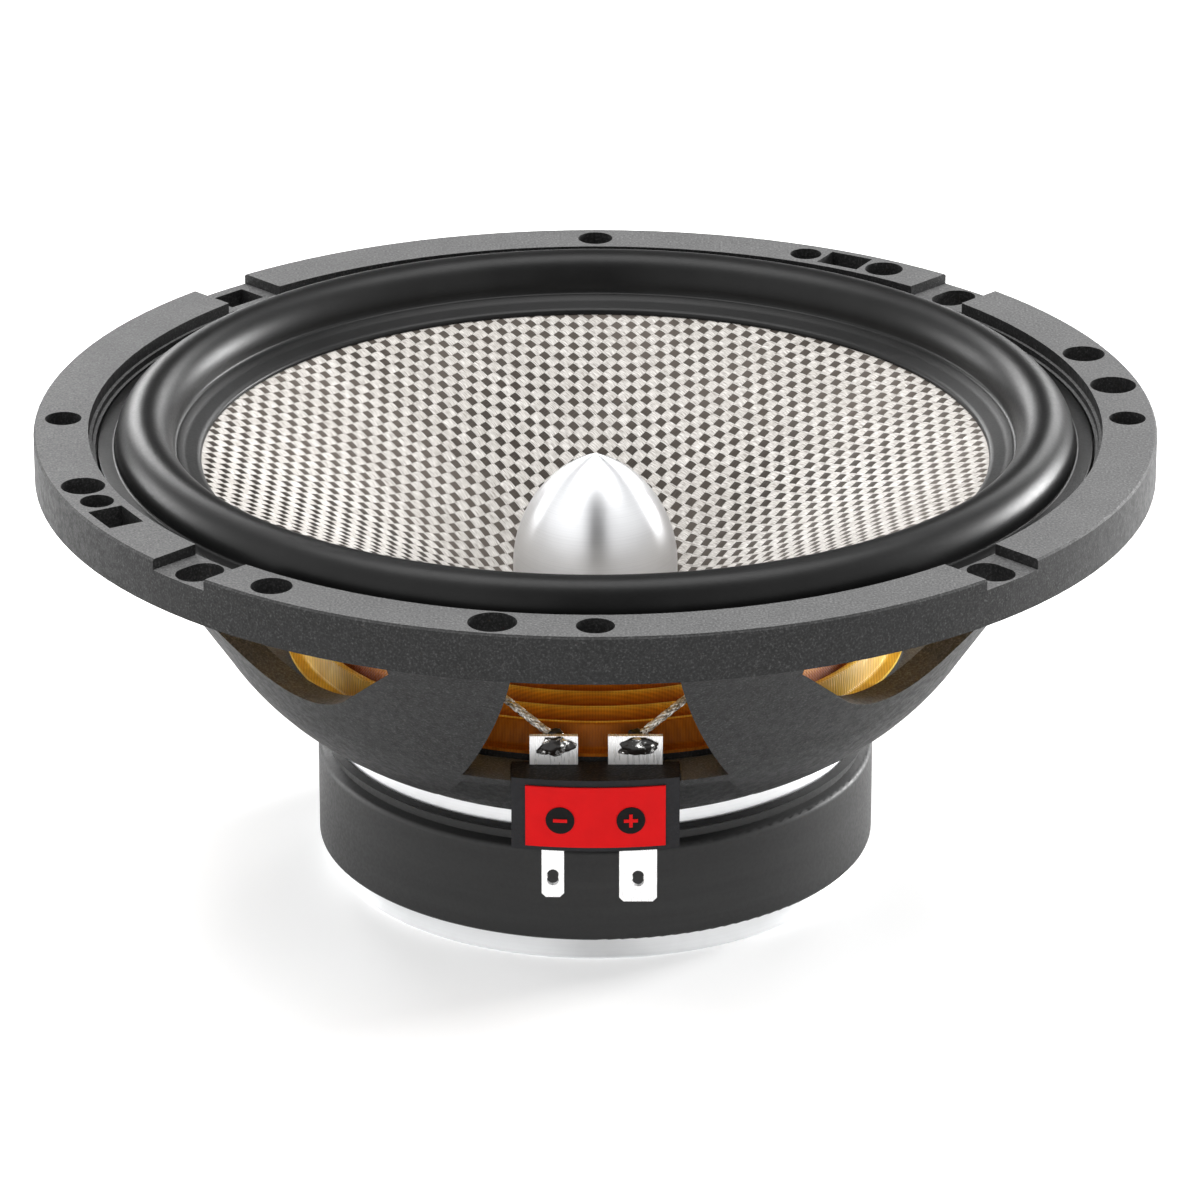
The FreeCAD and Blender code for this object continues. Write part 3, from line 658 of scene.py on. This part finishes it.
def rubber_surround():
    """Half-roll surround: rounded lip, roll, fillet and the flange that laps the cone."""
    points = section_of("surround")
    crest_r, crest_z = points[points[:, 1].argmax()]
    lip_r, inner_r = points[:, 0].max(), points[:, 0].min()
    lip = points[points[:, 0] > lip_r - 0.1][:, 1]
    ledge_z, lip_z = lip.min(), lip.max()
    roll_in, roll_out = crest_r - ROLL_HALF, crest_r + ROLL_HALF
    rim_z = cone_z(roll_in) + CEMENT_GAP + FLANGE_THICKNESS
    edge = cone_z(inner_r) + CEMENT_GAP

    top = [(lip_r, ledge_z)]
    top += arc((lip_r - LIP_ROUND, lip_z - LIP_ROUND), (LIP_ROUND, LIP_ROUND), 0, 90, 4)
    foot = (roll_out + OUTER_FILLET, lip_z + OUTER_FILLET)
    top += arc(foot, (OUTER_FILLET, OUTER_FILLET), 270, 205, 5)
    outer_low = lip_z + OUTER_RISE
    top += arc((crest_r, outer_low), (ROLL_HALF, crest_z - outer_low), 4, 90, 20)
    inner_low = rim_z + INNER_RISE
    top += arc((crest_r, inner_low), (ROLL_HALF, crest_z - inner_low), 95, 172, 18)
    top += arc((roll_in - INNER_FILLET_OUT, rim_z + INNER_FILLET_UP), INNER_FILLET, -18, -90, 6)
    for r in np.linspace(roll_in - FLANGE_START, inner_r + 0.3, 6):
        top.append((r, cone_z(r) + CEMENT_GAP + FLANGE_THICKNESS))
    top += [(inner_r + 0.08, edge + FLANGE_THICKNESS - 0.1), (inner_r, edge + FLANGE_THICKNESS - 0.3)]
    top.append((inner_r, edge))
    for r in np.linspace(inner_r + 0.5, roll_in - 0.2, 5):
        top.append((r, cone_z(r) + CEMENT_GAP))

    under_half, under_z = ROLL_HALF - ROLL_THICKNESS, crest_z - ROLL_THICKNESS
    inner_foot = rim_z - FLANGE_THICKNESS
    under = arc((crest_r, inner_foot), (under_half, under_z - inner_foot), 180, 90, 16)
    under += arc((crest_r, ledge_z), (under_half, under_z - ledge_z), 85, 0, 16)
    mesh_data = lathe(top + under, ROLL_SEGMENTS)
    piece = new_piece("rubber_surround", *mesh_data, "surround_rubber", 50.0)
    radial_blend(piece)
    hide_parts("surround")


def corrugated_spider():
    """Corrugated cloth suspension, from its cemented seat in to the former."""
    points = section_of("spider")
    seat_r, bore_r = points[:, 0].max(), points[:, 0].min()
    seat_z = points[points[:, 0] > seat_r - 0.2][:, 1].min()
    cup_r = seat_r - CUP_WIDTH
    span = points[points[:, 0] < cup_r - 1.0]
    plane = (span[:, 1].min() + span[:, 1].max() - SPIDER_THICKNESS) / 2
    height = (span[:, 1].max() - span[:, 1].min() - SPIDER_THICKNESS) / 2
    line = [(seat_r, seat_z), (cup_r + CUP_FOOT, seat_z)]
    line += arc((cup_r + CUP_FOOT, seat_z + CUP_ROUND), (CUP_ROUND, CUP_ROUND), 270, 200, 4)
    low_r = SPIDER_CREST_R - SPIDER_PITCH * SPIDER_WAVES
    for step in range(SPIDER_STEPS + 1):
        r = cup_r - 0.1 + (low_r - cup_r) * step / SPIDER_STEPS
        wave = math.cos(2 * math.pi * (SPIDER_CREST_R - r) / SPIDER_PITCH)
        swell = min(1.0, max(0.0, (r - low_r) / INNER_SWELL))
        line.append((r, plane + height * wave * swell))
    line.append((bore_r, plane))
    top = [(r, z + SPIDER_THICKNESS) for r, z in line]
    vertices, faces = lathe(top + line[::-1], SPIDER_SEGMENTS)
    piece = new_piece("corrugated_spider", vertices, faces, "spider_cloth", 80.0)
    # The rise share sets the painted shade of the troughs and the painted highlight of the crests.
    rise = piece.data.attributes.new("rise", "FLOAT", "POINT")
    for index, vertex in enumerate(piece.data.vertices):
        x, y, z = vertex.co / MM
        share = (z - plane + height) / (2 * height + SPIDER_THICKNESS)
        # Painted light: past the crests the share is painted lighter towards ±X.
        if math.hypot(x, y) > SPIDER_CREST_R + PAINTED_BAND_START:
            share = float(np.interp(abs(x), PAINTED_BAND_SPAN, PAINTED_BAND_SHARE))
        rise.data[index].value = min(1.0, max(0.0, share))
    radial_blend(piece)
    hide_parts("spider")


def route_points(side):
    """Points read from the route's own NURBS spline, in metres."""
    curve = bpy.data.curves.new("route", "CURVE")
    curve.dimensions = "3D"
    curve.resolution_u = 24
    spline = curve.splines.new("NURBS")
    spline.points.add(len(LEAD_ROUTE) - 1)
    for point, (x, y, z) in zip(spline.points, LEAD_ROUTE):
        point.co = (side * x * MM, y * MM, z * MM, 1)
    spline.order_u = 3
    spline.use_endpoint_u = True
    carrier = bpy.data.objects.new("route", curve)
    bpy.context.scene.collection.objects.link(carrier)
    bpy.context.view_layer.update()
    mesh = bpy.data.meshes.new_from_object(carrier)
    points = [vertex.co.copy() for vertex in mesh.vertices]
    bpy.data.objects.remove(carrier)
    bpy.data.curves.remove(curve)
    bpy.data.meshes.remove(mesh)
    return points


def resampled(points, spacing):
    """The polyline's points again, evenly spaced, with the length at each."""
    lengths = [0.0]
    for first, second in zip(points, points[1:]):
        lengths.append(lengths[-1] + (second - first).length)
    count = int(lengths[-1] / spacing)
    wanted = np.linspace(0, lengths[-1], count + 1)
    columns = [np.interp(wanted, lengths, [p[axis] for p in points]) for axis in range(3)]
    return [Vector(row) for row in zip(*columns)], wanted


def moving_frames(points):
    """Two normals at each point, carried along without twist."""
    tangents = []
    for index in range(len(points)):
        before, after = points[max(index - 1, 0)], points[min(index + 1, len(points) - 1)]
        tangents.append((after - before).normalized())
    normal = tangents[0].orthogonal().normalized()
    frames = []
    for tangent in tangents:
        normal = (normal - tangent * normal.dot(tangent)).normalized()
        frames.append((normal, tangent.cross(normal)))
    return frames


def tube_mesh(points, radius, sides, vertices, faces):
    """Adds a capped tube of that radius to the lists."""
    start = len(vertices)
    for centre, (first, second) in zip(points, moving_frames(points)):
        for side in range(sides):
            angle = 2 * math.pi * side / sides
            vertices.append(centre + radius * (first * math.cos(angle) + second * math.sin(angle)))
    for ring in range(len(points) - 1):
        here, there = start + ring * sides, start + (ring + 1) * sides
        for side in range(sides):
            other = (side + 1) % sides
            faces.append((here + side, here + other, there + other, there + side))
    faces.append([start + side for side in reversed(range(sides))])
    last = start + (len(points) - 1) * sides
    faces.append([last + side for side in range(sides)])


def braided_lead(name, side, node):
    """Braided tinsel lead: two sets of strands that pass over and under each other."""
    points, lengths = resampled(route_points(side), LEAD_SPACING * MM)
    frames = moving_frames(points)
    vertices, faces = [], []
    tube_mesh(points, CORE_R * MM, CORE_SIDES, vertices, faces)
    for hand in (1, -1):
        for strand in range(STRANDS):
            path = []
            for centre, (first, second), length in zip(points, frames, lengths):
                lay = hand * 2 * math.pi * length / (BRAID_LAY * MM)
                angle = lay + 2 * math.pi * strand / STRANDS
                wave = hand * math.cos(STRANDS * hand * angle / 2 + math.pi * strand)
                radius = (BRAID_R + BRAID_WAVE * wave) * MM
                path.append(centre + radius * (first * math.cos(angle) + second * math.sin(angle)))
            tube_mesh(path, STRAND_R * MM, STRAND_SIDES, vertices, faces)
    piece = new_piece(name, vertices, faces, "tinsel", 60.0)
    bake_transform(piece)
    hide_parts(node)


def solder_blob(vertices, faces, centre, size, seed):
    """Adds an irregular drop of solder to the lists."""
    drop = bmesh.new()
    bmesh.ops.create_icosphere(drop, subdivisions=4, radius=1.0)
    start = len(vertices)
    shift = Vector((seed, 0, 0))
    for vertex in drop.verts:
        push = 1 + 0.30 * noise.noise(vertex.co * 1.7 + shift) + 0.12 * noise.noise(vertex.co * 4.5)
        vertices.append([(centre[axis] + vertex.co[axis] * push * size[axis]) * MM for axis in range(3)])
    faces += [[start + vertex.index for vertex in face.verts] for face in drop.faces]
    drop.free()


def lug_solder():
    """Solder on both faces of each lug, with the lead's end set in it."""
    vertices, faces = [], []
    for side, seed in ((1, 3.1), (-1, 8.4)):
        x, y, z = LEAD_ROUTE[0]
        x *= side
        solder_blob(vertices, faces, (x, y + 0.1, z), (1.5, 0.9, 1.2), seed)
        solder_blob(vertices, faces, (x + 0.4, LUG_FRONT_Y, z - 0.7), (2.5, 0.5, 1.35), seed + 5)
        solder_blob(vertices, faces, (x - 1.6, LUG_FRONT_Y, z - 1.5), (1.0, 0.3, 0.55), seed + 9)
    piece = new_piece("solder_joints", vertices, faces, "solder", 80.0)
    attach(piece, CHASSIS)
    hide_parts("lug_solder")


# ---- stage ----------------------------------------------------------------------------------
def make_floor():
    """Pale paper floor at the height of the motor's base."""
    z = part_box("t_yoke")[0].z
    reach = FLOOR_HALF * MM
    corners = [(-reach, -reach, z), (reach, -reach, z), (reach, reach, z), (-reach, reach, z)]
    mesh = bpy.data.meshes.new("floor")
    mesh.from_pydata(corners, [], [(0, 1, 2, 3)])
    floor = bpy.data.objects.new("floor", mesh)
    bpy.context.scene.collection.objects.link(floor)
    finish = Finish("floor_paper", Roughness=0.9, Specular_IOR_Level=0.1)
    finish.shader.inputs["Emission Color"].default_value = (1, 1, 1, 1)
    seen = finish.node("ShaderNodeLightPath").outputs["Is Camera Ray"]
    glow = finish.remap(seen, 0.0, 1.0, FLOOR_GLOW, FLOOR_GLOW_SEEN)
    finish.feed(finish.shader.inputs["Emission Strength"], glow)
    grain = finish.noise(40, 3)
    mesh.materials.append(finish.set(finish.ramp(grain, (0.3, 0.84), (0.7, 0.86))))


def make_light(name, location, size, power):
    """Rectangular softbox turned towards the object."""
    data = bpy.data.lights.new(name, "AREA")
    data.shape = "RECTANGLE"
    data.size, data.size_y = [s * MM for s in size]
    data.energy = power
    lamp = bpy.data.objects.new(name, data)
    lamp.location = Vector(location) * MM
    facing = Vector(location) - Vector(LIGHT_TARGET)
    lamp.rotation_euler = facing.to_track_quat("Z", "Y").to_euler()
    bpy.context.scene.collection.objects.link(lamp)


def make_world():
    """White studio walls at the sides, with a narrow dark gap in front and behind."""
    world = bpy.data.worlds.new("studio")
    world.use_nodes = True
    bpy.context.scene.world = world
    studio = Nodes(world.node_tree)
    background = studio.tree.nodes["Background"]
    x, y, z = studio.split(studio.node("ShaderNodeTexCoord").outputs["Generated"])
    aside = studio.math("ABSOLUTE", studio.math("SUBTRACT", x, 0.03))
    walls = studio.remap(aside, 0.11, 0.36, 0.04, 1.5)
    behind = studio.remap(y, -0.1, 0.6, 1.0, 0.55)
    above = studio.remap(z, 0.45, 0.95, 1.0, 0.6)
    left_share = studio.remap(x, -0.3, 0.3, 1.1, 0.85)
    lit = studio.product(studio.product(walls, behind), studio.product(above, left_share))
    seen = studio.node("ShaderNodeLightPath").outputs["Is Camera Ray"]
    unseen = studio.math("SUBTRACT", 1.0, seen)
    background.inputs["Color"].default_value = (1, 1, 1, 1)
    studio.feed(background.inputs["Strength"], studio.math("ADD", seen, studio.product(unseen, lit)))


def make_camera():
    data = bpy.data.cameras.new("camera")
    data.lens = CAMERA_LENS
    data.sensor_width = CAMERA_SENSOR
    camera = bpy.data.objects.new("camera", data)
    up = math.radians(CAMERA_ELEVATION)
    back, rise = CAMERA_DISTANCE * math.cos(up), CAMERA_DISTANCE * math.sin(up)
    camera.location = (0, -back * MM, (CAMERA_AIM_Z + rise) * MM)
    camera.rotation_euler = (math.radians(90 - CAMERA_PITCH), 0, math.radians(-CAMERA_YAW))
    bpy.context.scene.collection.objects.link(camera)
    bpy.context.scene.camera = camera


make_camera()
make_floor()
make_world()
for light in LIGHTS:
    make_light(*light)
bpy.context.scene.view_settings.view_transform = "Standard"
finish_cad_nodes()
woven_cone()
rubber_surround()
corrugated_spider()
braided_lead("negative_braided_lead", 1, "negative_tinsel_lead")
braided_lead("positive_braided_lead", -1, "positive_tinsel_lead")
lug_solder()
